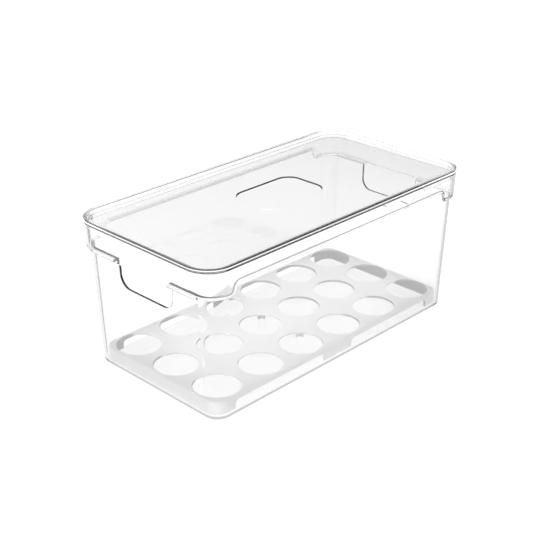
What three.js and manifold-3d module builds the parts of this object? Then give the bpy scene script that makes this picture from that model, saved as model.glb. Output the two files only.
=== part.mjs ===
// Fridge bin for eggs: a clear tub with a cut-out handle in each end, a white tray with 18 egg holes and a
// clear lid.
// Millimetres. X runs along the bin, Y across it and Z up. The origin is the centre of the tub's underside.
import * as THREE from "three";
import { mergeVertices } from "three/addons/utils/BufferGeometryUtils.js";
import Module from "manifold-3d";

const wasm = await Module();
wasm.setup();

// ---- Driving dimensions ----

const BIN_LENGTH = 324; // over the lid, the widest piece
const BIN_WIDTH = 165;
const BIN_HEIGHT = 137.6; // underside of the tub to the lid's rim
const WALL = 2.2; // thickness of the clear mouldings
const FLANGE = 2.8; // thickness of the lid's flange, which rests on the tub's rim
const CLEARANCE = 0.3; // between mouldings that rest on each other
const CORNER_STEPS = 8; // facets in a quarter turn of each plan corner
const EDGE_TURNS = [0, 30, 60, 90]; // degrees turned at each ring of a rounded edge

const TUB = {
  baseHalfLength: 149.4, // the walls' outside where the base fillet ends
  baseHalfWidth: 75.85,
  baseRadius: 13.5,
  baseFillet: 2.4, // height and depth of the rounding around the underside
  endDraft: 0.0454, // outward lean of the short walls, per unit of height
  sideDraft: 0.032, // and of the long walls
  floor: 2.4, // thickness
  floorFillet: 1.5, // inside, between the floor and the walls
  deepShelf: 110.2, // underside of the shelf at the ends and round the corners
  raisedShelf: 120, // and along the middle of each long side
  stepCentre: 130.5, // distance from the middle of a long side to each step in the shelf
  stepRadius: 5,
  stepAngle: 78, // steepest slope of the step, in degrees
  stepFacets: 4, // in each of its two arcs
  levelShift: 1.5, // how much nearer the middle the level rings put the stations of a step
  collarHalfLength: 160.4, // outside, at the foot of the collar
  collarHalfWidth: 81.1,
  collarRadius: 22,
  collarFlare: 1.2, // how much further out the collar's rim is than its foot
  edge: 1, // rounding along the collar's foot
  rimEdge: 0.5,
};
const RIM_TOP = BIN_HEIGHT - FLANGE - CLEARANCE; // top of the tub under the lid's flange

const HANDLE = {
  halfWidth: 32,
  bottom: 86.2,
  radius: 11, // lower corners
  collarGap: 0.1, // left between the cut and the inside of the collar
};

const TRAY = {
  halfLength: 145.4,
  halfWidth: 71,
  radius: 11,
  top: 14.65,
  sheet: 2,
  edge: 1.6, // rounding between the plate and the skirt
  columns: 6,
  rows: 3,
  pitchX: 49.4,
  pitchY: 48.8,
  holeRadius: 19.4,
  holeEdge: 0.7, // softening around each hole's top
  windowNear: 17.5, // each skirt window's ends, from the middle of the bin
  windowFar: 125,
  windowTop: 10.4,
  windowRadius: 3.5,
  postSpan: 9.2, // across each plus-shaped post
  postRib: 1.6, // thickness of its arms
};

const LID = {
  radius: 24,
  rimWidth: 4.2, // flat top of the raised rim
  edge: 0.8, // rounding along the rim's two top edges
  panelDrop: 2.8, // from the rim down to the stacking panel
  panelInset: 6.1, // from the lid's side to the foot of the rim
  rimSlope: 0.5, // how far the rim's rounded inner edge spreads before it drops to the panel
  plugInset: 3.7, // from the lid's side to the outside of the plug
  plugThickness: 1.8,
  plugBottom: 128.9,
  plugTaper: 0.2,
  recessLength: 74,
  recessWidth: 49,
  recessRadius: 14,
  recessDepth: 1.1,
};

// ---- Rings and the skin through them ----

// The stations of a rounded rectangle, anticlockwise from the middle of the +X side. A corner station has its
// quarter and its angle. A side station has its long side and its place among the inner stations there.
function makeStations(sideCount) {
  const stations = [];
  for (let quarter = 0; quarter < 4; quarter += 1) {
    for (let step = 0; step <= CORNER_STEPS; step += 1) {
      stations.push({ quarter, angle: (quarter + step / CORNER_STEPS) * (Math.PI / 2) });
    }
    if (quarter % 2 === 0) {
      for (let index = 0; index < sideCount; index += 1) {
        stations.push({ side: quarter === 0 ? 1 : -1, index });
      }
    }
  }
  return stations;
}

// The plan position of a station on a rounded rectangle. sideX lists the X of the inner stations of the
// +Y side in order.
function planPoint(station, size, sideX) {
  if (station.side) {
    return [station.side * sideX[station.index], station.side * size.halfWidth];
  }
  const signX = station.quarter === 0 || station.quarter === 3 ? 1 : -1;
  const signY = station.quarter < 2 ? 1 : -1;
  return [
    signX * (size.halfLength - size.radius) + size.radius * Math.cos(station.angle),
    signY * (size.halfWidth - size.radius) + size.radius * Math.sin(station.angle),
  ];
}

// A level ring round a rounded rectangle.
function levelRing(stations, size, height, sideX = []) {
  return stations.map((station) => [...planPoint(station, size, sideX), height]);
}

// A level ring round a circle, anticlockwise.
function circleRing(x, y, radius, height) {
  const count = 4 * CORNER_STEPS;
  return Array.from({ length: count }, (_, i) => {
    const angle = (2 * Math.PI * i) / count;
    return [x + radius * Math.cos(angle), y + radius * Math.sin(angle), height];
  });
}

function grown(size, amount) {
  return {
    halfLength: size.halfLength + amount,
    halfWidth: size.halfWidth + amount,
    radius: size.radius + amount,
  };
}

// A closed skin, put together from bands between rings and from level faces inside them.
class Skin {
  positions = [];
  faces = [];

  ring(points) {
    const start = this.positions.length / 3;
    this.positions.push(...points.flat());
    return { start, points };
  }

  // Joins each ring to the next. The skin faces away from the axis where the rings climb.
  bands(pointRings) {
    const rings = pointRings.map((points) => this.ring(points));
    for (let level = 0; level + 1 < rings.length; level += 1) {
      const count = rings[level].points.length;
      const lower = rings[level].start;
      const upper = rings[level + 1].start;
      for (let i = 0; i < count; i += 1) {
        const next = (i + 1) % count;
        this.faces.push(lower + i, lower + next, upper + next, lower + i, upper + next, upper + i);
      }
    }
    return [rings[0], rings.at(-1)];
  }

  // Fills a level ring, apart from the rings of its holes.
  fill(ring, facesUp, holes = []) {
    const flat = (points) => points.map(([x, y]) => new THREE.Vector2(x, y));
    const holePoints = holes.map((hole) => flat(hole.points));
    const all = [ring, ...holes];
    const vertices = all.flatMap(({ start, points }) => {
      return points.map(([x, y], i) => ({ index: start + i, x, y }));
    });
    for (const face of THREE.ShapeUtils.triangulateShape(flat(ring.points), holePoints)) {
      const [a, b, c] = face.map((place) => vertices[place]);
      const turn = (b.x - a.x) * (c.y - a.y) - (b.y - a.y) * (c.x - a.x);
      const ordered = turn > 0 === facesUp ? [a, b, c] : [a, c, b];
      this.faces.push(...ordered.map(({ index }) => index));
    }
  }

  geometry() {
    const geometry = new THREE.BufferGeometry();
    geometry.setAttribute("position", new THREE.Float32BufferAttribute(this.positions, 3));
    geometry.setIndex(this.faces);
    return geometry;
  }
}

// ---- Joining and cutting ----

function toSolid(geometry) {
  const bare = geometry.clone();
  bare.deleteAttribute("normal");
  bare.deleteAttribute("uv");
  const merged = mergeVertices(bare, 1e-4);
  return new wasm.Manifold(
    new wasm.Mesh({
      numProp: 3,
      vertProperties: new Float32Array(merged.attributes.position.array),
      triVerts: new Uint32Array(merged.index.array),
    }),
  );
}

function toGeometry(solid) {
  const mesh = solid.getMesh();
  const geometry = new THREE.BufferGeometry();
  geometry.setAttribute("position", new THREE.Float32BufferAttribute(mesh.vertProperties, 3));
  geometry.setIndex(new THREE.Uint32BufferAttribute(mesh.triVerts, 1));
  geometry.computeVertexNormals();
  return geometry;
}

function extrude(shape, depth) {
  return new THREE.ExtrudeGeometry(shape, { depth, bevelEnabled: false, curveSegments: CORNER_STEPS });
}

// ---- Tub ----

// The outside of the wall at a height, leaning out as it rises.
function wallSize(height) {
  const rise = height - TUB.baseFillet;
  return {
    halfLength: TUB.baseHalfLength + TUB.endDraft * rise,
    halfWidth: TUB.baseHalfWidth + TUB.sideDraft * rise,
    radius: TUB.baseRadius + TUB.sideDraft * rise,
  };
}

function collarSize(height) {
  const share = (height - TUB.deepShelf) / (RIM_TOP - TUB.deepShelf);
  return grown(
    { halfLength: TUB.collarHalfLength, halfWidth: TUB.collarHalfWidth, radius: TUB.collarRadius },
    TUB.collarFlare * share,
  );
}

// One step of the shelf, from its low end to its high end: an arc, a steep straight and an arc. Each point is
// [distance along the side, share of the way up].
function shelfStep() {
  const rise = TUB.raisedShelf - TUB.deepShelf;
  const angle = THREE.MathUtils.degToRad(TUB.stepAngle);
  const arcRun = TUB.stepRadius * Math.sin(angle);
  const arcRise = TUB.stepRadius * (1 - Math.cos(angle));
  const straightRun = (rise - 2 * arcRise) / Math.tan(angle);
  const halfRun = arcRun + straightRun / 2;
  const lower = [];
  for (let i = 0; i <= TUB.stepFacets; i += 1) {
    const turn = (angle * i) / TUB.stepFacets;
    lower.push([TUB.stepRadius * Math.sin(turn) - halfRun, (TUB.stepRadius * (1 - Math.cos(turn))) / rise]);
  }
  const upper = lower.map(([along, share]) => [-along, 1 - share]).reverse();
  return [...lower, ...upper];
}

function makeTub() {
  const step = shelfStep();
  const stations = makeStations(2 * step.length);
  // The +Y side runs from +X to -X, so its first step climbs and its second one falls.
  const stepX = (shift) => {
    const climbing = step.map(([along]) => TUB.stepCentre + shift - along);
    return [...climbing, ...climbing.map((x) => -x).reverse()];
  };
  // Level rings have the same stations, evenly spaced and a little further from the corners.
  const evenMiddle = TUB.stepCentre - TUB.levelShift;
  const evenStep = step.map((_, i) => evenMiddle + TUB.stepRadius * (1 - (2 * i) / (step.length - 1)));
  const evenX = [...evenStep, ...evenStep.map((x) => -x).reverse()];
  const shares = [...step.map(([, share]) => share), ...step.map(([, share]) => share).reverse()];

  // A ring that follows the shelf, a given height above its underside, on the surface that sizeAt gives.
  const shelfRing = (sizeAt, above, shift) => {
    const sideX = stepX(shift);
    return stations.map((station) => {
      const share = station.side ? shares[station.index] : 0;
      const height = TUB.deepShelf + share * (TUB.raisedShelf - TUB.deepShelf) + above;
      return [...planPoint(station, sizeAt(height), sideX), height];
    });
  };
  const level = (size, height) => levelRing(stations, size, height, evenX);
  const innerWall = (height) => grown(wallSize(height), -WALL);
  const innerCollar = (height) => grown(collarSize(height), -WALL);
  // The shelf's top follows its underside at one wall's thickness, so its steps lie a little further out.
  const topShift = (WALL * (1 - Math.cos(THREE.MathUtils.degToRad(TUB.stepAngle)))) / 2;

  const fillet = [];
  for (const degrees of EDGE_TURNS) {
    const turn = THREE.MathUtils.degToRad(degrees);
    const inset = TUB.baseFillet * (1 - Math.sin(turn));
    fillet.push(level(grown(wallSize(TUB.baseFillet), -inset), TUB.baseFillet * (1 - Math.cos(turn))));
  }
  const skin = new Skin();
  const [underside, floor] = skin.bands([
    ...fillet,
    shelfRing(wallSize, 0, 0),
    shelfRing((height) => grown(collarSize(height), -TUB.edge), 0, 0),
    shelfRing(collarSize, TUB.edge, 0),
    level(collarSize(RIM_TOP), RIM_TOP - TUB.rimEdge),
    level(grown(collarSize(RIM_TOP), -TUB.rimEdge), RIM_TOP),
    level(grown(innerCollar(RIM_TOP), TUB.rimEdge), RIM_TOP),
    level(innerCollar(RIM_TOP), RIM_TOP - TUB.rimEdge),
    shelfRing(innerCollar, WALL, topShift),
    shelfRing(innerWall, WALL, topShift),
    level(innerWall(TUB.floor + TUB.floorFillet), TUB.floor + TUB.floorFillet),
    level(grown(innerWall(TUB.floor), -TUB.floorFillet), TUB.floor),
  ]);
  skin.fill(underside, false);
  skin.fill(floor, true);
  const shell = toSolid(skin.geometry());

  // Each handle is cut through the wall and the shelf, up to the inside of the collar, which is the grip.
  const cutFrom = wallSize(HANDLE.bottom).halfLength - 2 * WALL;
  const cutTo = innerCollar(TUB.deepShelf).halfLength - HANDLE.collarGap;
  const cutTop = TUB.deepShelf + 2 * WALL;
  const arcX = HANDLE.halfWidth - HANDLE.radius;
  const arcY = HANDLE.bottom + HANDLE.radius;
  const opening = new THREE.Shape();
  opening.moveTo(HANDLE.halfWidth, cutTop);
  opening.lineTo(-HANDLE.halfWidth, cutTop);
  opening.absarc(-arcX, arcY, HANDLE.radius, Math.PI, 1.5 * Math.PI);
  opening.absarc(arcX, arcY, HANDLE.radius, 1.5 * Math.PI, 2 * Math.PI);
  // Standing the outline up puts its width along Y, its height along Z and its depth along +X.
  const cutter = extrude(opening, cutTo - cutFrom);
  cutter.rotateX(Math.PI / 2).rotateZ(Math.PI / 2).translate(cutFrom, 0, 0);
  const farCutter = cutter.clone().rotateZ(Math.PI);
  return toGeometry(shell.subtract(toSolid(cutter)).subtract(toSolid(farCutter)));
}

// ---- Tray ----

function makeTray() {
  const stations = makeStations(0);
  const outside = { halfLength: TRAY.halfLength, halfWidth: TRAY.halfWidth, radius: TRAY.radius };
  const inside = grown(outside, -TRAY.sheet);
  const bottom = TUB.floor + CLEARANCE;
  const underPlate = TRAY.top - TRAY.sheet;
  const edge = EDGE_TURNS.map((degrees) => {
    const turn = THREE.MathUtils.degToRad(degrees);
    const size = grown(outside, -TRAY.edge * (1 - Math.cos(turn)));
    return levelRing(stations, size, TRAY.top - TRAY.edge * (1 - Math.sin(turn)));
  });
  const skin = new Skin();
  const [ceiling, plate] = skin.bands([
    levelRing(stations, inside, underPlate),
    levelRing(stations, inside, bottom),
    levelRing(stations, outside, bottom),
    ...edge,
  ]);

  // The egg holes, one at each place of the grid.
  const plateHoles = [];
  const ceilingHoles = [];
  for (let column = 0; column < TRAY.columns; column += 1) {
    for (let row = 0; row < TRAY.rows; row += 1) {
      const x = (column - (TRAY.columns - 1) / 2) * TRAY.pitchX;
      const y = (row - (TRAY.rows - 1) / 2) * TRAY.pitchY;
      const [upper, lower] = skin.bands([
        circleRing(x, y, TRAY.holeRadius + TRAY.holeEdge, TRAY.top),
        circleRing(x, y, TRAY.holeRadius, TRAY.top - TRAY.holeEdge),
        circleRing(x, y, TRAY.holeRadius, underPlate),
      ]);
      plateHoles.push(upper);
      ceilingHoles.push(lower);
    }
  }
  skin.fill(plate, true, plateHoles);
  skin.fill(ceiling, false, ceilingHoles);
  let tray = toSolid(skin.geometry());

  // Two windows through the skirt of each long side, open at the bottom, with rounded upper corners.
  const past = 1; // how far the cutter runs past the skirt
  const windowHalf = (TRAY.windowFar - TRAY.windowNear) / 2;
  const windowMiddle = (TRAY.windowFar + TRAY.windowNear) / 2;
  const skirtMiddle = TRAY.halfWidth - TRAY.sheet / 2;
  const arcX = windowHalf - TRAY.windowRadius;
  const arcY = TRAY.windowTop - TRAY.windowRadius;
  const outline = new THREE.Shape();
  outline.moveTo(-windowHalf, bottom - past);
  outline.lineTo(windowHalf, bottom - past);
  outline.absarc(arcX, arcY, TRAY.windowRadius, 0, Math.PI / 2);
  outline.absarc(-arcX, arcY, TRAY.windowRadius, Math.PI / 2, Math.PI);
  const cutter = extrude(outline, TRAY.sheet + 2 * past).rotateX(Math.PI / 2);
  cutter.translate(0, TRAY.sheet / 2 + past, 0);
  for (const x of [-windowMiddle, windowMiddle]) {
    for (const y of [-skirtMiddle, skirtMiddle]) {
      tray = tray.subtract(toSolid(cutter.clone().translate(x, y, 0)));
    }
  }

  // Two plus-shaped posts hold up the middle of the plate, each between four holes, and end level with the
  // skirt.
  const postHeight = underPlate + TRAY.sheet / 2 - bottom;
  const arms = [
    [TRAY.postSpan, TRAY.postRib],
    [TRAY.postRib, TRAY.postSpan],
  ];
  for (const y of [-TRAY.pitchY / 2, TRAY.pitchY / 2]) {
    for (const [lengthX, lengthY] of arms) {
      const arm = new THREE.BoxGeometry(lengthX, lengthY, postHeight);
      tray = tray.add(toSolid(arm.translate(0, y, bottom + postHeight / 2)));
    }
  }
  return toGeometry(tray);
}

// ---- Lid ----

function makeLid() {
  const stations = makeStations(0);
  const outside = { halfLength: BIN_LENGTH / 2, halfWidth: BIN_WIDTH / 2, radius: LID.radius };
  const flange = BIN_HEIGHT - FLANGE;
  const panelTop = BIN_HEIGHT - LID.panelDrop;
  const panelBottom = panelTop - WALL;
  const plugInner = LID.plugInset + LID.plugThickness;
  const section = [
    [LID.panelInset, panelTop],
    [LID.rimWidth + LID.edge + LID.rimSlope, BIN_HEIGHT - LID.edge],
    [LID.rimWidth, BIN_HEIGHT],
    [LID.edge, BIN_HEIGHT],
    [LID.edge / 4, BIN_HEIGHT - LID.edge / 4],
    [0, BIN_HEIGHT - LID.edge],
    [0, flange],
    [LID.plugInset, flange],
    [LID.plugInset + LID.plugTaper, LID.plugBottom],
    [plugInner, LID.plugBottom],
    [plugInner + LID.plugTaper, panelBottom],
  ];
  const skin = new Skin();
  const rings = section.map(([inset, height]) => levelRing(stations, grown(outside, -inset), height));
  const [underPanel, panel] = skin.bands(rings.reverse());
  const recess = {
    halfLength: LID.recessLength / 2,
    halfWidth: LID.recessWidth / 2,
    radius: LID.recessRadius,
  };
  const [recessRim, recessFloor] = skin.bands([
    levelRing(stations, recess, panelTop),
    levelRing(stations, grown(recess, -LID.recessDepth / 2), panelTop - LID.recessDepth),
  ]);
  skin.fill(underPanel, false);
  skin.fill(panel, true, [recessRim]);
  skin.fill(recessFloor, true);
  return skin.geometry();
}

// ---- Assembly ----

const clearPlastic = { color: 0xf2f6f7, roughness: 0.05, metalness: 0, transparent: true, opacity: 0.3 };

function piece(name, geometry, finish) {
  const mesh = new THREE.Mesh(geometry, new THREE.MeshStandardMaterial(finish));
  mesh.name = name;
  return mesh;
}

const bin = new THREE.Group();
bin.add(piece("bin_tub", makeTub(), clearPlastic));
bin.add(piece("egg_tray", makeTray(), { color: 0xf3f3f3, roughness: 0.5, metalness: 0 }));
bin.add(piece("lid", makeLid(), clearPlastic));

export default bin;
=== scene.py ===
import math

import bmesh
import bpy
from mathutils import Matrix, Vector
from mathutils.geometry import tessellate_polygon


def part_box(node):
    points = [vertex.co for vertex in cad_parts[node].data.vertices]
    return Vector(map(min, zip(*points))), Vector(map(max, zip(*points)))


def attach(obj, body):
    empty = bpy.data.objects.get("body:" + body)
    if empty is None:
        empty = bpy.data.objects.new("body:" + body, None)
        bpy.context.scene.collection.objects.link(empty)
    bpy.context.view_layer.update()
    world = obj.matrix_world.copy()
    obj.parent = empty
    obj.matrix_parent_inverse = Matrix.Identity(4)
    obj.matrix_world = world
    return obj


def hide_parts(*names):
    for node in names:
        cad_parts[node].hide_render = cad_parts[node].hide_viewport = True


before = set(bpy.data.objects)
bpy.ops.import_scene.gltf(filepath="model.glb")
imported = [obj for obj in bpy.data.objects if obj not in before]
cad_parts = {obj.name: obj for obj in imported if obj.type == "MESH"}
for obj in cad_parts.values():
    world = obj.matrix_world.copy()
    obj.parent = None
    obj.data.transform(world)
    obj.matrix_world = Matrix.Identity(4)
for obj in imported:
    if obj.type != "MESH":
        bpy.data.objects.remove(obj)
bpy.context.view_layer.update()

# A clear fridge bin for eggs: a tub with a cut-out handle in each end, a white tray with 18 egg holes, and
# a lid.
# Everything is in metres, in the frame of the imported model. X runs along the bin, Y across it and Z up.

TUB_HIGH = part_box("bin_tub")[1]
TRAY_LOW, TRAY_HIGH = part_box("egg_tray")
LID_LOW, LID_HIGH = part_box("lid")

# ---- Dimensions that the boxes don't give ----

WALL = 0.0022  # thickness of the clear mouldings
CORNER_STEPS = 20  # facets in a quarter turn of each plan corner
ROUND_STEPS = 4  # facets in a quarter turn of a small rounding
HOLE_STEPS = 64  # facets round an egg hole
LINE_END = 0.0002  # how far a painted dark line runs on past its rounding
SHARP_SHADING = math.radians(32)  # edges that turn more than this look sharp
SHARP_EDGE = math.radians(50)  # and more than this are rounded off
INNER_CORNER = 0.0004  # rounding in the inner corners of the tray and the lid

BASE_FILLET = 0.0024  # around the underside
BASE_HALF_LENGTH = 0.1494  # the walls' outside where the base fillet ends
BASE_HALF_WIDTH = 0.07585
BASE_RADIUS = 0.0135
END_DRAFT = 0.0454  # outward lean of the short walls, per unit of height
SIDE_DRAFT = 0.032  # and of the long walls
FLOOR = 0.0024
FLOOR_FILLET = 0.0015
BASE_PAINTED_GLOW = 0.88  # how much of the light inside the plastic ends around the base, as painted glow

DEEP_SHELF = 0.1102  # underside of the shelf at the ends and round the corners
RAISED_SHELF = 0.12  # and along the middle of each long side
STEP_CENTRE = 0.1305  # from the middle of a long side to each step in the shelf
STEP_RADIUS = 0.005
STEP_ANGLE = math.radians(78)
STEP_FACETS = 8  # in each of a step's two arcs
LEVEL_SHIFT = 0.0015
SHELF_FILLET = 0.0009  # between the shelf and the walls
COLLAR_RADIUS = 0.022
COLLAR_FLARE = 0.0012  # how much further out the collar's rim is than its foot
FOOT_EDGE = 0.001  # rounding along the collar's foot
RIM_EDGE = 0.0009
RIM_PAINTED_LINE = 1.0  # how dark a painted line the rim gets
FOOT_PAINTED_LINE = 0.6  # and the collar's foot
SHELF_PAINTED_LINE = 0.8  # and the fillet under the shelf
BRINK_PAINTED_LINE = 0.3  # and the fillets on top of it

HANDLE_HALF_WIDTH = 0.032
HANDLE_BOTTOM = 0.0862
HANDLE_RADIUS = 0.011
HANDLE_EDGE = 0.0003  # softening of the cut-out's edges
CUT_PAINTED_LINE = 1.0  # how dark the painted line on the cut through the wall is
CUT_BAND = 0.00032  # from the faces of the wall to where it is that dark
GRIP_EDGE = 0.0006  # rounding along the inside of the grip

SHEET = 0.002  # thickness of the tray
TRAY_RADIUS = 0.011
TRAY_EDGE = 0.0016  # rounding between the plate and the skirt
COLUMNS = 6
ROWS = 3
PITCH_X = 0.0494
PITCH_Y = 0.0488
HOLE_RADIUS = 0.0194
HOLE_EDGE = 0.0007
UNDER_EDGE = 0.0002  # softening under each hole
SKIRT_EDGE = 0.0003
WINDOW_NEAR = 0.0175  # each skirt window's ends, from the middle of the bin
WINDOW_FAR = 0.125
WINDOW_TOP = 0.0104
WINDOW_RADIUS = 0.0035
POST_SPAN = 0.0092
POST_RIB = 0.0016

LID_RADIUS = 0.024
LID_RIM = 0.0042  # flat top of the raised rim
LID_EDGE = 0.0008
FLANGE = 0.0028  # thickness of the part that rests on the tub's rim
PANEL_DROP = 0.0028  # from the rim down to the stacking panel
PANEL_INSET = 0.0061  # from the lid's side to the foot of the rim
PLUG_INSET = 0.0037  # from the lid's side to the outside of the plug
PLUG_THICKNESS = 0.0018
PLUG_TAPER = 0.0002
PLUG_EDGE = 0.0004
FLANGE_EDGE = 0.0008
LID_PAINTED_LINE = 1.0  # how dark a painted line its outer edges get
LID_PAINTED_GLOW = 0.9  # and how strong a painted glow its side has between them
PANEL_CORNER = 0.0004  # between the panel and the rim
RECESS_HALF_LENGTH = 0.037
RECESS_HALF_WIDTH = 0.0245
RECESS_RADIUS = 0.014
RECESS_DEPTH = 0.0011
RECESS_EDGE = 0.0003

# ---- Finish and studio ----

NOISE_RANGE = (0.35, 0.65)  # where most of the noise lies
COMPARE_WITHIN = 0.5  # numbers that are compared may be this far apart
PLASTIC_IOR = 1.57
CLEAR_TINT = (0.99, 0.99, 0.99)
PAINTED_LINE_SHADE = (0.01, 0.01, 0.01)  # painted near-black shade where a moulded edge bends the light away
GLIMPSED = (0.55, 0.75)  # a painted edge line fades between these shares of facing away
PAINTED_SHADE_FACING = (0.46, 0.58)  # painted shade on upright plastic grows between these shares of facing away
PAINTED_SHADE_SIDES = (-0.6, 0.6)  # X of the surface's normal, towards the light and away from it
# How deep the painted shade is at each of those: less towards the light.
PAINTED_SHADE_DEPTHS = (0.4, 1.0)
PAINTED_GLOW_FADE = 4  # how fast the painted glow fades with the mark for it
# A ray reflected more often than this gets the painted glow.
MANY_REFLECTIONS = 4.5
CLEAR_ROUGHNESS = (0.0, 0.02)
HAZE_SIZE = 0.03
FLOW_SIZE = 0.06
FLOW_DEPTH = 0.00002
TRAY_WHITES = ((0.94, 0.94, 0.94), (0.97, 0.97, 0.97))
# Painted glow of the whole tray, for the light that the sheet lets through.
TRAY_PAINTED_GLOW = 0.07
TRAY_PAINTED_SHADE = (0.5, 0.5, 0.5)  # painted shade where its surface looks inwards
# Distance from the middle of the bin to the surface, against its normal, where the painted shade starts and
# ends.
PAINTED_SHADE_REACH = (0.004, 0.03)
TRAY_IOR = 1.49
TRAY_ROUGHNESS = (0.45, 0.6)
MOTTLE_SIZE = 0.01
GRAIN_SIZE = 0.0006
GRAIN_DEPTH = 0.00002

CAMERA_AZIMUTH = -45.53
CAMERA_ELEVATION = 25.34
CAMERA_DISTANCE = 1.03069
CAMERA_LENS = 75.66
CAMERA_AIM_RIGHT = -0.01143
CAMERA_AIM_UP = 0.05474
CAMERA_LIFT = 0.0024

FLOOR_REACH = 40
FLOOR_GAP = 0.0001  # below the bin
PAPER = (0.12, 0.12, 0.12)
PAPER_GLOW = 0.98
PAPER_FIBRE = 0.001
PAPER_ROUGHNESS = (0.85, 0.9)
SKY_LIGHT = (-0.7, -0.1, 0.7)  # towards the middle of the soft light
# How far each shade of the sky is towards the middle of the light, from 0 to 1, and its grey.
SKY = ((0.3, 0.0), (0.36, 0.2), (0.43, 0.25), (0.55, 0.45), (0.75, 1.0))
SKY_STRENGTH = 1.95


# ---- Sections and rings ----


class Plan:
    """A rounded rectangle about the Z axis."""

    def __init__(self, half_length, half_width, radius):
        self.half_length = half_length
        self.half_width = half_width
        self.radius = radius

    def grown(self, amount):
        return Plan(self.half_length + amount, self.half_width + amount, self.radius + amount)

    def corner(self, quarter):
        """The points round one corner. The first corner is at +X and +Y, and the others follow
        anticlockwise."""
        middle_x = (self.half_length - self.radius) * (1 if quarter in (0, 3) else -1)
        middle_y = (self.half_width - self.radius) * (1 if quarter < 2 else -1)
        points = []
        for step in range(CORNER_STEPS + 1):
            angle = (quarter + step / CORNER_STEPS) * math.pi / 2
            x = middle_x + self.radius * math.cos(angle)
            y = middle_y + self.radius * math.sin(angle)
            points.append((x, y))
        return points

    def ring(self, height):
        return [(x, y, height) for quarter in range(4) for x, y in self.corner(quarter)]


def circle(x, y, radius, height):
    turns = [2 * math.pi * step / HOLE_STEPS for step in range(HOLE_STEPS)]
    return [(x + radius * math.cos(turn), y + radius * math.sin(turn), height) for turn in turns]


def painted_line_depths(depth=0.0):
    """How dark a painted line each ring of a rounding gets. The first and the last get none."""
    return [0.0, *[depth] * (ROUND_STEPS - 1), 0.0]


def quarter_turn(steps=ROUND_STEPS):
    """The cosine and sine at each step from 0 to 90 degrees."""
    turns = [math.pi / 2 * step / steps for step in range(steps + 1)]
    return [(math.cos(turn), math.sin(turn)) for turn in turns]


def rounded(section):
    """A section whose corners are (across, height, radius), and a painted line depth if the rounding gets a
    painted dark line. It gives (across, height, painted line depth) for each point. The two ends stay as they
    are."""
    points = []
    for place, (across, height, radius, *line) in enumerate(section):
        here = Vector((across, height))
        if radius == 0 or place in (0, len(section) - 1):
            points.append((across, height, 0))
            continue
        back = (Vector(section[place - 1][:2]) - here).normalized()
        on = (Vector(section[place + 1][:2]) - here).normalized()
        half_angle = back.angle(on) / 2
        centre = here + (back + on).normalized() * radius / math.sin(half_angle)
        start = here + back * radius / math.tan(half_angle) - centre
        end = here + on * radius / math.tan(half_angle) - centre
        arc = [centre + start.slerp(end, step / ROUND_STEPS) * radius for step in range(ROUND_STEPS + 1)]
        if line:
            # The painted line ends just outside the rounding.
            points.append((*(arc[0] + back * LINE_END), 0))
            points += [(*point, *line) for point in arc]
            points.append((*(arc[-1] + on * LINE_END), 0))
        else:
            points += [(*point, 0) for point in arc]
    return points


# ---- Meshes ----


class Skin:
    """A closed skin, put together from rings of points."""

    def __init__(self):
        self.points = []
        self.faces = []
        self.marks = {"painted_edge_shade": [], "painted_deep_glow": [], "painted_edge_glow": []}

    def ring(self, points, line=0.0, light=0.0, painted_glow=0.0):
        """A ring of points, with how dark a painted line it gets, how much of the light inside the plastic
        ends there as painted glow after many reflections, and how strong a painted glow it always has."""
        start = len(self.points)
        self.points += points
        for values, value in zip(self.marks.values(), (line, light, painted_glow)):
            values += [value] * len(points)
        return list(range(start, len(self.points)))

    def band(self, lower, upper, left_out=()):
        """Faces between two rings, apart from the places that are left out."""
        for i in range(len(lower)):
            j = (i + 1) % len(lower)
            if i not in left_out:
                self.faces.append((lower[i], lower[j], upper[j], upper[i]))

    def bands(self, many, left_out=()):
        """Faces between each ring and the next. Returns the first and the last ring."""
        for lower, upper in zip(many, many[1:]):
            self.band(lower, upper, left_out)
        return many[0], many[-1]

    def fill(self, ring, holes=()):
        """Fills a level ring, apart from the rings of its holes."""
        loops = [ring, *holes]
        corners = [index for loop in loops for index in loop]
        for face in tessellate_polygon([[Vector(self.points[i]) for i in loop] for loop in loops]):
            self.faces.append(tuple(corners[i] for i in face))

    def piece(self, name):
        mesh = bpy.data.meshes.new(name)
        mesh.from_pydata(self.points, [], self.faces)
        for kind, values in self.marks.items():
            mesh.attributes.new(kind, "FLOAT", "POINT").data.foreach_set("value", values)
        piece = bpy.data.objects.new(name, mesh)
        bpy.context.scene.collection.objects.link(piece)
        face_outwards(piece)
        return piece


def face_outwards(piece):
    shape = bmesh.new()
    shape.from_mesh(piece.data)
    bmesh.ops.recalc_face_normals(shape, faces=shape.faces)
    shape.to_mesh(piece.data)
    shape.free()


def apply_modifiers(piece):
    shown = piece.evaluated_get(bpy.context.evaluated_depsgraph_get())
    mesh = bpy.data.meshes.new_from_object(shown)
    piece.modifiers.clear()
    piece.data = mesh


def combine(piece, other, operation):
    """Cuts the other piece away or joins it, and removes it."""
    boolean = piece.modifiers.new(operation.lower(), "BOOLEAN")
    boolean.operation = operation
    boolean.solver = "EXACT"
    boolean.object = other
    apply_modifiers(piece)
    bpy.data.objects.remove(other)


def soften(piece, width):
    """Rounds the edges that turn sharply."""
    bevel = piece.modifiers.new("soft_edges", "BEVEL")
    bevel.width = width
    bevel.segments = 3
    bevel.limit_method = "ANGLE"
    bevel.angle_limit = SHARP_EDGE
    bevel.use_clamp_overlap = False
    apply_modifiers(piece)


def shade(piece):
    """Smooth shading in which the flat faces stay flat."""
    piece.data.shade_smooth()
    piece.data.set_sharp_from_angle(angle=SHARP_SHADING)
    weighted = piece.modifiers.new("flat_faces_stay_flat", "WEIGHTED_NORMAL")
    weighted.keep_sharp = True


# ---- Tub ----


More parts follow.
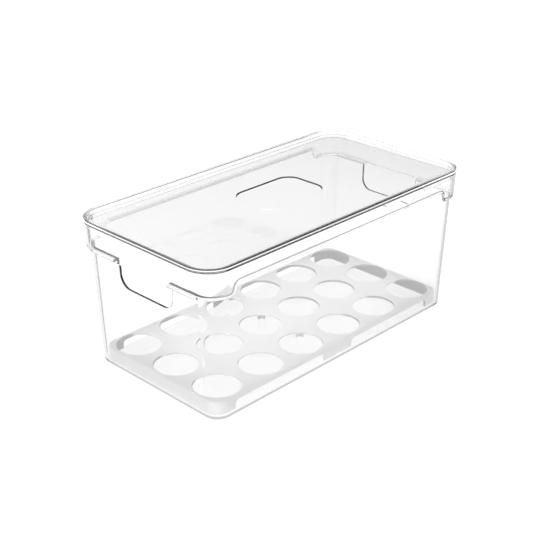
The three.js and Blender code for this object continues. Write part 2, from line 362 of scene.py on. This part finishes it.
def wall_plan(height):
    """The outside of the wall, leaning out as it rises."""
    rise = height - BASE_FILLET
    radius = BASE_RADIUS + SIDE_DRAFT * rise
    return Plan(BASE_HALF_LENGTH + END_DRAFT * rise, BASE_HALF_WIDTH + SIDE_DRAFT * rise, radius)


def collar_plan(height):
    """The outside of the collar, which leans out from its foot to the rim."""
    rim = Plan(TUB_HIGH.x, TUB_HIGH.y, COLLAR_RADIUS + COLLAR_FLARE)
    return rim.grown(-COLLAR_FLARE * (TUB_HIGH.z - height) / (TUB_HIGH.z - DEEP_SHELF))


def shelf_step(above):
    """The step of the shelf from its low end to its high end, at a distance above its underside. Each point
    is (distance along the side from the middle of the step, height)."""
    arc_run = STEP_RADIUS * math.sin(STEP_ANGLE)
    arc_rise = STEP_RADIUS * (1 - math.cos(STEP_ANGLE))
    half_run = arc_run + (RAISED_SHELF - DEEP_SHELF - 2 * arc_rise) / math.tan(STEP_ANGLE) / 2
    turns = [STEP_ANGLE * i / STEP_FACETS for i in range(STEP_FACETS + 1)]
    low_radius = STEP_RADIUS - above
    high_radius = STEP_RADIUS + above
    low_centre = DEEP_SHELF + STEP_RADIUS
    high_centre = RAISED_SHELF - STEP_RADIUS
    low = [(low_radius * math.sin(t) - half_run, low_centre - low_radius * math.cos(t)) for t in turns]
    high = [(half_run - high_radius * math.sin(t), high_centre + high_radius * math.cos(t)) for t in turns]
    return low + high[::-1]


def tub_ring(plan_at, out=0.0, height=None, above=0.0):
    """A ring some way outside the plan that plan_at gives. With a height it is level, and otherwise it
    follows the shelf, some distance above its underside. Each end also has a point at each side of its
    handle."""
    low = DEEP_SHELF + above if height is None else height
    if height is None:
        step = [(STEP_CENTRE - along, high) for along, high in shelf_step(above)]
    else:
        # A level ring keeps these stations a little nearer the middle, clear of the corners.
        step = [(STEP_CENTRE - LEVEL_SHIFT - along, height) for along, _ in shelf_step(0)]
    side_points = step + [(-x, high) for x, high in reversed(step)]
    ring = []
    for quarter in range(4):
        plan = plan_at(low).grown(out)
        ring += [(x, y, low) for x, y in plan.corner(quarter)]
        if quarter % 2 == 0:
            side = 1 - quarter
            for x, high in side_points:
                ring.append((side * x, side * (plan_at(high).half_width + out), high))
        else:
            end = quarter - 2
            for y in (-HANDLE_HALF_WIDTH, HANDLE_HALF_WIDTH):
                ring.append((end * plan.half_length, end * y, low))
    return ring


def handle_outline(plan_at, out, end):
    """The lower edge of a handle on the wall that plan_at gives, from its -Y side (at the +X end) to its
    +Y side."""
    arc_y = HANDLE_HALF_WIDTH - HANDLE_RADIUS
    arc_z = HANDLE_BOTTOM + HANDLE_RADIUS
    turn = quarter_turn(CORNER_STEPS)
    half = [(arc_y + HANDLE_RADIUS * sine, arc_z - HANDLE_RADIUS * cosine) for cosine, sine in turn]
    outline = [(-y, z) for y, z in reversed(half)] + half
    return [(end * (plan_at(z).half_length + out), end * y, z) for y, z in outline]


def wall_with_handles(skin, lower, upper, outlines):
    """The band between two rings of a wall. Each handle's outline, by its place in the ring, is left open."""
    count = len(lower)
    for i in range(count):
        j = (i + 1) % count
        if i in outlines:
            skin.faces.append((lower[i], lower[j], *reversed(outlines[i])))
        elif j in outlines:
            skin.faces.append((lower[i], lower[j], outlines[j][0], upper[j], upper[i]))
        elif (i - 1) % count in outlines:
            skin.faces.append((lower[i], lower[j], upper[j], upper[i], outlines[i - 1][-1]))
        else:
            skin.faces.append((lower[i], lower[j], upper[j], upper[i]))


def make_tub():
    skin = Skin()

    def follow(plan_at, steps, line):
        rings = [tub_ring(plan_at, out, above=above) for out, above in steps]
        return [skin.ring(ring, depth) for depth, ring in zip(painted_line_depths(line), rings)]

    def collar_ring(out, above):
        return skin.ring(tub_ring(collar_plan, out, above=above), light=1)

    def level(plan_at, steps, light=0.0, line=0.0):
        rings = [tub_ring(lambda _: plan_at, out, height=height) for out, height in steps]
        return [skin.ring(ring, depth, light) for depth, ring in zip(painted_line_depths(line), rings)]

    turn = quarter_turn()
    foot = wall_plan(BASE_FILLET)
    rim = collar_plan(TUB_HIGH.z)
    floor_plan = wall_plan(FLOOR + FLOOR_FILLET)
    rim_out = [(-RIM_EDGE * (1 - c), TUB_HIGH.z - RIM_EDGE * (1 - s)) for c, s in turn]
    rim_in = [(-WALL - out, height) for out, height in reversed(rim_out)]
    base = level(foot, [(-BASE_FILLET * (1 - s), BASE_FILLET * (1 - c)) for c, s in turn], BASE_PAINTED_GLOW)
    shelf_under = [(SHELF_FILLET * (1 - c), -SHELF_FILLET * (1 - s)) for c, s in turn]
    under = follow(wall_plan, shelf_under, SHELF_PAINTED_LINE)
    foot_round = [(-FOOT_EDGE * (1 - s), FOOT_EDGE * (1 - c)) for c, s in turn]
    collar_foot = follow(collar_plan, foot_round, FOOT_PAINTED_LINE)
    lip = [*level(rim, rim_out, light=1, line=RIM_PAINTED_LINE), *level(rim, rim_in, light=1)]
    collar = [collar_ring(0, 2 * FOOT_EDGE), *lip, collar_ring(-WALL, WALL + 2 * SHELF_FILLET)]
    shelf_over = [(-WALL - SHELF_FILLET * (1 - c), WALL + SHELF_FILLET * (1 - s)) for c, s in turn]
    over = follow(collar_plan, shelf_over, BRINK_PAINTED_LINE)
    shelf_brink = [(-WALL + SHELF_FILLET * (1 - s), WALL - SHELF_FILLET * (1 - c)) for c, s in turn]
    brink = follow(wall_plan, shelf_brink, BRINK_PAINTED_LINE)
    floor_edge = [(-WALL - FLOOR_FILLET * (1 - c), FLOOR + FLOOR_FILLET * (1 - s)) for c, s in turn]
    floor = level(floor_plan, floor_edge, BASE_PAINTED_GLOW)

    # The two places in every ring where a handle's -Y side (at the +X end) comes.
    half_ring = len(base[0]) // 2
    handles = {half_ring - 2: -1, 2 * half_ring - 2: 1}

    skin.bands(base)
    skin.bands([*under, collar_foot[0]], handles)
    skin.bands([*collar_foot, *collar, over[0]])
    skin.bands([*over, *brink], handles)
    skin.bands(floor)
    skin.fill(base[0])
    skin.fill(floor[-1])

    cuts = {}
    for place, end in handles.items():
        depths = ((0, 0), (CUT_BAND, CUT_PAINTED_LINE), (WALL - CUT_BAND, CUT_PAINTED_LINE), (WALL, 0))
        cuts[place] = [skin.ring(handle_outline(wall_plan, -depth, end), line) for depth, line in depths]
    wall_with_handles(skin, base[-1], under[0], {place: cut[0] for place, cut in cuts.items()})
    wall_with_handles(skin, floor[0], brink[-1], {place: cut[-1] for place, cut in cuts.items()})

    for place, cut in cuts.items():
        # The rest of the cut: its edge round the outline, the underside of the collar, which is the grip,
        # and its sides.
        for lower, upper in zip(cut, cut[1:]):
            skin.band(lower, upper, left_out=[len(lower) - 1])
        grip = []
        for cosine, sine in turn:
            ring = tub_ring(collar_plan, -WALL + GRIP_EDGE * (1 - sine), above=GRIP_EDGE * (1 - cosine))
            grip.append(skin.ring(ring[place : place + 2]))
        across = [collar_foot[0][place : place + 2], *grip, over[0][place : place + 2]]
        for one, two in zip(across, across[1:]):
            skin.faces.append((one[0], one[1], two[1], two[0]))
        for side, end in ((0, 0), (1, -1)):
            outside = [cut[0][end], *(ring[place + side] for ring in under), collar_foot[0][place + side]]
            inside = [pair[side] for pair in grip] + [ring[place + side] for ring in (*over, *brink)]
            skin.faces.append((*outside, *inside, *(outline[end] for outline in cut[:0:-1])))

    tub = skin.piece("clear_tub")
    soften(tub, HANDLE_EDGE)
    return tub


# ---- Tray ----


def hole_places():
    for column in range(COLUMNS):
        for row in range(ROWS):
            yield (column - (COLUMNS - 1) / 2) * PITCH_X, (row - (ROWS - 1) / 2) * PITCH_Y


def window_cutter(middle_x, middle_y):
    """A bar through the skirt, as wide as a window, with rounded upper edges."""
    half = (WINDOW_FAR - WINDOW_NEAR) / 2
    arc_x = half - WINDOW_RADIUS
    arc_z = WINDOW_TOP - WINDOW_RADIUS
    low = TRAY_LOW.z - SHEET
    turn = quarter_turn(ROUND_STEPS * 2)
    right = [(arc_x + WINDOW_RADIUS * cosine, arc_z + WINDOW_RADIUS * sine) for cosine, sine in turn]
    outline = [(-half, low), (half, low), *right, *((-x, z) for x, z in reversed(right))]
    skin = Skin()
    faces = [skin.ring([(middle_x + x, middle_y + y, z) for x, z in outline]) for y in (-SHEET, SHEET)]
    skin.bands(faces)
    skin.faces += [tuple(face) for face in faces]
    return skin.piece("window_cutter")


def post(middle_y):
    """A plus-shaped post from the tub's floor into the plate."""
    span = POST_SPAN / 2
    rib = POST_RIB / 2
    arm = [(span, -rib), (span, rib), (rib, rib)]
    outline = arm
    plan = []
    for quarter in range(4):
        plan += [(x, y) for x, y in outline]
        outline = [(-y, x) for x, y in outline]
    skin = Skin()
    top = TRAY_HIGH.z - SHEET / 2
    ends = [skin.ring([(x, middle_y + y, z) for x, y in plan]) for z in (TRAY_LOW.z, top)]
    skin.bands(ends)
    skin.faces += [tuple(end) for end in ends]
    return skin.piece("post")


def make_tray():
    outside = Plan(TRAY_HIGH.x, TRAY_HIGH.y, TRAY_RADIUS)
    under_plate = TRAY_HIGH.z - SHEET
    section = rounded([
        (-SHEET - INNER_CORNER, under_plate, 0),
        (-SHEET, under_plate, INNER_CORNER * 0.9),
        (-SHEET, TRAY_LOW.z, SKIRT_EDGE),
        (0, TRAY_LOW.z, SKIRT_EDGE),
        (0, TRAY_HIGH.z, TRAY_EDGE),
        (-TRAY_EDGE, TRAY_HIGH.z, 0),
    ])
    skin = Skin()
    ceiling, plate = skin.bands([skin.ring(outside.grown(out).ring(height)) for out, height, _ in section])
    tops = []
    bottoms = []
    for x, y in hole_places():
        edge = []
        for c, s in quarter_turn():
            edge.append((HOLE_RADIUS + HOLE_EDGE * (1 - s), TRAY_HIGH.z - HOLE_EDGE * (1 - c)))
        edge.append((HOLE_RADIUS, under_plate + UNDER_EDGE))
        edge.append((HOLE_RADIUS + UNDER_EDGE, under_plate))
        top, bottom = skin.bands([skin.ring(circle(x, y, radius, height)) for radius, height in edge])
        tops.append(top)
        bottoms.append(bottom)
    skin.fill(plate, tops)
    skin.fill(ceiling, bottoms)
    tray = skin.piece("white_egg_tray")
    for end in (-1, 1):
        for side in (-1, 1):
            middle = end * (WINDOW_NEAR + WINDOW_FAR) / 2
            combine(tray, window_cutter(middle, side * (TRAY_HIGH.y - SHEET / 2)), "DIFFERENCE")
    for side in (-1, 1):
        combine(tray, post(side * PITCH_Y / 2), "UNION")
    return tray


# ---- Lid ----


def make_lid():
    outside = Plan(LID_HIGH.x, LID_HIGH.y, LID_RADIUS)
    panel = LID_HIGH.z - PANEL_DROP
    under_panel = panel - WALL
    flange = LID_HIGH.z - FLANGE
    plug_inside = PLUG_INSET + PLUG_THICKNESS
    section = rounded([
        (-plug_inside - PLUG_TAPER - INNER_CORNER, under_panel, 0),
        (-plug_inside - PLUG_TAPER, under_panel, INNER_CORNER * 0.9),
        (-plug_inside, LID_LOW.z, PLUG_EDGE),
        (-PLUG_INSET - PLUG_TAPER, LID_LOW.z, PLUG_EDGE),
        (-PLUG_INSET, flange, PLUG_EDGE),
        (0, flange, FLANGE_EDGE, LID_PAINTED_LINE),
        (0, LID_HIGH.z, LID_EDGE, LID_PAINTED_LINE),
        (-LID_RIM - LID_EDGE, LID_HIGH.z, LID_EDGE),
        (-PANEL_INSET, panel, PANEL_CORNER),
        (-PANEL_INSET - INNER_CORNER, panel, 0),
    ])
    skin = Skin()
    rings = []
    for out, height, line in section:
        # The flange's side gets a painted glow between its two painted lines.
        painted_glow = LID_PAINTED_GLOW if out > -LINE_END / 2 and line == 0 else 0
        rings.append(skin.ring(outside.grown(out).ring(height), line, light=1, painted_glow=painted_glow))
    under, top = skin.bands(rings)
    recess = Plan(RECESS_HALF_LENGTH, RECESS_HALF_WIDTH, RECESS_RADIUS)
    sunk = rounded([
        (INNER_CORNER, panel, 0),
        (0, panel, RECESS_EDGE),
        (-RECESS_DEPTH / 2, panel - RECESS_DEPTH, RECESS_EDGE),
        (-RECESS_DEPTH / 2 - INNER_CORNER, panel - RECESS_DEPTH, 0),
    ])
    rim, bottom = skin.bands([skin.ring(recess.grown(out).ring(height), line) for out, height, line in sunk])
    below = skin.ring(recess.ring(under_panel))
    skin.band(top, rim)
    skin.band(under, below)
    skin.fill(below)
    skin.fill(bottom)
    return skin.piece("clear_lid")


# ---- Materials ----


def new_material(name):
    """A material, its nodes and links, its main shader and a texture coordinate in metres."""
    material = bpy.data.materials.new(name)
    material.use_nodes = True
    nodes = material.node_tree.nodes
    links = material.node_tree.links
    shader = next(node for node in nodes if node.type == "BSDF_PRINCIPLED")
    place = nodes.new("ShaderNodeTexCoord").outputs["Object"]
    return material, nodes, links, shader, place


def noise(nodes, links, place, size, detail):
    """Soft noise whose lumps are about the given size across."""
    texture = nodes.new("ShaderNodeTexNoise")
    texture.inputs["Scale"].default_value = 1 / size
    texture.inputs["Detail"].default_value = detail
    links.new(place, texture.inputs["Vector"])
    return texture.outputs["Fac"]


def map_range(nodes, links, value, before, after):
    """Maps the range before to the range after, and stops at its ends."""
    reach = nodes.new("ShaderNodeMapRange")
    for name, number in zip(("From Min", "From Max", "To Min", "To Max"), (*before, *after)):
        reach.inputs[name].default_value = number
    links.new(value, reach.inputs["Value"])
    return reach.outputs["Result"]


def mix_colours(nodes, links, share, first, second):
    """The first colour where the share is 0 and the second where it is 1. The first may be a socket."""
    mix = nodes.new("ShaderNodeMix")
    mix.data_type = "RGBA"
    links.new(share, mix.inputs["Factor"])
    if isinstance(first, bpy.types.NodeSocket):
        links.new(first, mix.inputs["A"])
    else:
        mix.inputs["A"].default_value = (*first, 1)
    mix.inputs["B"].default_value = (*second, 1)
    return mix.outputs["Result"]


def bump(nodes, links, height, depth):
    node = nodes.new("ShaderNodeBump")
    node.inputs["Strength"].default_value = 1
    node.inputs["Distance"].default_value = depth
    links.new(height, node.inputs["Height"])
    return node.outputs["Normal"]


def arithmetic(nodes, links, operation, first, second):
    """One sum. Each of its two terms is a socket or a number."""
    node = nodes.new("ShaderNodeMath")
    node.operation = operation
    node.inputs[2].default_value = COMPARE_WITHIN
    for term, socket in zip((first, second), node.inputs):
        if isinstance(term, bpy.types.NodeSocket):
            links.new(term, socket)
        else:
            socket.default_value = term
    return node.outputs["Value"]


def mark(nodes, name):
    """One of the marks that Skin gives to the points of a piece."""
    node = nodes.new("ShaderNodeAttribute")
    node.attribute_name = name
    return node.outputs["Fac"]


def painted_edge_shade(nodes, links, light_path):
    """The painted dark line on a moulded edge, seen from outside and through no more than one sheet of
    plastic. It is faint where the edge is only glimpsed."""
    facing = nodes.new("ShaderNodeLayerWeight").outputs["Facing"]
    seen = map_range(nodes, links, facing, GLIMPSED, (1, 0))
    # The ray has passed no surface yet, or two, and not one.
    passed = arithmetic(nodes, links, "SUBTRACT", light_path.outputs["Transmission Depth"], 1)
    outside = arithmetic(nodes, links, "COMPARE", arithmetic(nodes, links, "ABSOLUTE", passed, 0), 1)
    seen = arithmetic(nodes, links, "MULTIPLY", outside, seen)
    return arithmetic(nodes, links, "MULTIPLY", mark(nodes, "painted_edge_shade"), seen)


def painted_glancing_shade(nodes, links):
    """Painted shade by how far an upright surface turns away from the ray that meets it. There is less of it
    on the side of the light."""
    facing = nodes.new("ShaderNodeLayerWeight").outputs["Facing"]
    share = map_range(nodes, links, facing, PAINTED_SHADE_FACING, (0, 1))
    apart = nodes.new("ShaderNodeSeparateXYZ")
    links.new(nodes.new("ShaderNodeNewGeometry").outputs["Normal"], apart.inputs["Vector"])
    slope = arithmetic(nodes, links, "ABSOLUTE", apart.outputs["Z"], 0)
    upright = arithmetic(nodes, links, "SUBTRACT", 1, slope)
    depth = map_range(nodes, links, apart.outputs["X"], PAINTED_SHADE_SIDES, PAINTED_SHADE_DEPTHS)
    share = arithmetic(nodes, links, "MULTIPLY", share, upright)
    return arithmetic(nodes, links, "MULTIPLY", share, depth)


def clear_plastic(name):
    """Clear polystyrene: polished, with a faint waviness from the mould and the haze of handling. Moulded
    edges and glancing surfaces get painted shade in the base colour, and a painted glow stands for light that
    the plastic carries along inside."""
    material, nodes, links, shader, place = new_material(name)
    light_path = nodes.new("ShaderNodeLightPath")
    # Painted shade: the base colour turns near black along marked edges and on upright surfaces that glance
    # away.
    line = painted_edge_shade(nodes, links, light_path)
    depth = arithmetic(nodes, links, "MAXIMUM", line, painted_glancing_shade(nodes, links))
    links.new(mix_colours(nodes, links, depth, CLEAR_TINT, PAINTED_LINE_SHADE), shader.inputs["Base Color"])
    # Painted glow: the plastic emits light where rays have been reflected many times, and always on the lid's
    # flange side.
    reflections = light_path.outputs["Glossy Depth"]
    carried = arithmetic(nodes, links, "GREATER_THAN", reflections, MANY_REFLECTIONS)
    near = arithmetic(nodes, links, "POWER", mark(nodes, "painted_deep_glow"), PAINTED_GLOW_FADE)
    painted_glow = arithmetic(nodes, links, "MULTIPLY", carried, near)
    painted_glow = arithmetic(nodes, links, "MAXIMUM", painted_glow, mark(nodes, "painted_edge_glow"))
    links.new(painted_glow, shader.inputs["Emission Strength"])
    shader.inputs["Emission Color"].default_value = (1, 1, 1, 1)
    shader.inputs["IOR"].default_value = PLASTIC_IOR
    shader.inputs["Transmission Weight"].default_value = 1
    haze = noise(nodes, links, place, HAZE_SIZE, detail=4)
    links.new(map_range(nodes, links, haze, NOISE_RANGE, CLEAR_ROUGHNESS), shader.inputs["Roughness"])
    flow = noise(nodes, links, place, FLOW_SIZE, detail=1)
    links.new(bump(nodes, links, flow, FLOW_DEPTH), shader.inputs["Normal"])
    return material


def painted_inner_shade(nodes, links, place):
    """Painted shade by how much an upright surface looks inwards, as the inside of the skirt and the outer
    part of each hole's edge do."""
    level = nodes.new("ShaderNodeVectorMath")
    level.operation = "MULTIPLY"
    links.new(place, level.inputs[0])
    level.inputs[1].default_value = (-1, -1, 0)
    towards = nodes.new("ShaderNodeVectorMath")
    towards.operation = "DOT_PRODUCT"
    links.new(level.outputs["Vector"], towards.inputs[0])
    links.new(nodes.new("ShaderNodeNewGeometry").outputs["Normal"], towards.inputs[1])
    return map_range(nodes, links, towards.outputs["Value"], PAINTED_SHADE_REACH, (0, 1))


def white_plastic(name):
    """White polypropylene: a satin skin with a fine spark-eroded grain and a slight mottle. A painted glow
    stands for the light that the sheet lets through, and painted shade darkens what looks inwards."""
    material, nodes, links, shader, place = new_material(name)
    mottle = noise(nodes, links, place, MOTTLE_SIZE, detail=3)
    ramp = nodes.new("ShaderNodeValToRGB")
    for element, shade_of in zip(ramp.color_ramp.elements, TRAY_WHITES):
        element.color = (*shade_of, 1)
    links.new(map_range(nodes, links, mottle, NOISE_RANGE, (0, 1)), ramp.inputs["Fac"])
    # Painted shade: what looks inwards gets a grey base colour.
    inwards = painted_inner_shade(nodes, links, place)
    whites = mix_colours(nodes, links, inwards, ramp.outputs["Color"], TRAY_PAINTED_SHADE)
    links.new(whites, shader.inputs["Base Color"])
    shader.inputs["IOR"].default_value = TRAY_IOR
    # Painted glow: the whole tray emits a little light.
    shader.inputs["Emission Color"].default_value = (1, 1, 1, 1)
    shader.inputs["Emission Strength"].default_value = TRAY_PAINTED_GLOW
    grain = noise(nodes, links, place, GRAIN_SIZE, detail=2)
    links.new(map_range(nodes, links, grain, NOISE_RANGE, TRAY_ROUGHNESS), shader.inputs["Roughness"])
    links.new(bump(nodes, links, grain, GRAIN_DEPTH), shader.inputs["Normal"])
    return material


# ---- Studio ----


def make_camera():
    """The camera looks down at the near corner of the bin from beyond its -X and -Y sides."""
    azimuth = math.radians(CAMERA_AZIMUTH)
    elevation = math.radians(CAMERA_ELEVATION)
    across = math.cos(elevation)
    back = Vector((math.sin(azimuth) * across, -math.cos(azimuth) * across, math.sin(elevation)))
    right = Vector((math.cos(azimuth), math.sin(azimuth), 0))
    aim = right * CAMERA_AIM_RIGHT + back.cross(right) * CAMERA_AIM_UP
    camera = bpy.data.objects.new("camera", bpy.data.cameras.new("camera"))
    camera.data.sensor_width = 36
    camera.data.lens = CAMERA_LENS
    camera.location = aim + Vector((0, 0, CAMERA_LIFT)) + back * CAMERA_DISTANCE
    camera.rotation_mode = "QUATERNION"
    camera.rotation_quaternion = (-back).to_track_quat("-Z", "Y")
    bpy.context.scene.collection.objects.link(camera)
    bpy.context.scene.camera = camera


def make_floor():
    """A wide white floor that glows a little, as paper lit from below does, so that it stays shadowless."""
    skin = Skin()
    corners = skin.ring([(x, y, -FLOOR_GAP) for x, y in ((1, -1), (1, 1), (-1, 1), (-1, -1))])
    skin.points = [(x * FLOOR_REACH, y * FLOOR_REACH, z) for x, y, z in skin.points]
    skin.faces.append(tuple(corners))
    floor = skin.piece("studio_floor")
    material, nodes, links, shader, place = new_material("white_paper")
    fibre = noise(nodes, links, place, PAPER_FIBRE, detail=3)
    links.new(map_range(nodes, links, fibre, NOISE_RANGE, PAPER_ROUGHNESS), shader.inputs["Roughness"])
    shader.inputs["Base Color"].default_value = (*PAPER, 1)
    shader.inputs["Specular IOR Level"].default_value = 0
    shader.inputs["Emission Color"].default_value = (1, 1, 1, 1)
    shader.inputs["Emission Strength"].default_value = PAPER_GLOW
    floor.data.materials.append(material)


def make_sky():
    """A dark studio with one very large soft light, high up on the -X side."""
    world = bpy.data.worlds.new("studio")
    world.use_nodes = True
    nodes = world.node_tree.nodes
    links = world.node_tree.links
    towards = nodes.new("ShaderNodeVectorMath")
    towards.operation = "DOT_PRODUCT"
    towards.inputs[1].default_value = SKY_LIGHT
    links.new(nodes.new("ShaderNodeTexCoord").outputs["Generated"], towards.inputs[0])
    share = map_range(nodes, links, towards.outputs["Value"], (-1, 1), (0, 1))
    ramp = nodes.new("ShaderNodeValToRGB")
    ramp.color_ramp.interpolation = "EASE"
    while len(ramp.color_ramp.elements) < len(SKY):
        ramp.color_ramp.elements.new(0.5)
    for element, (sine, grey) in zip(ramp.color_ramp.elements, SKY):
        element.position = sine
        element.color = (grey, grey, grey, 1)
    links.new(share, ramp.inputs["Fac"])
    background = nodes["Background"]
    links.new(ramp.outputs["Color"], background.inputs["Color"])
    background.inputs["Strength"].default_value = SKY_STRENGTH
    bpy.context.scene.world = world


# ---- Everything together ----

PIECES = (
    (make_tub, "bin_tub", "tub", "clear_tub", clear_plastic("clear_tub")),
    (make_tray, "egg_tray", "tray", "white_tray", white_plastic("white_tray")),
    (make_lid, "lid", "lid", "clear_lid", clear_plastic("clear_lid")),
)
for make, node, body, slot, material in PIECES:
    made = make()
    shade(made)
    made.data.materials.clear()
    made.data.materials.append(material)
    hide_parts(node)
    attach(made, body)

make_camera()
make_floor()
make_sky()
bpy.context.scene.view_settings.view_transform = "Standard"
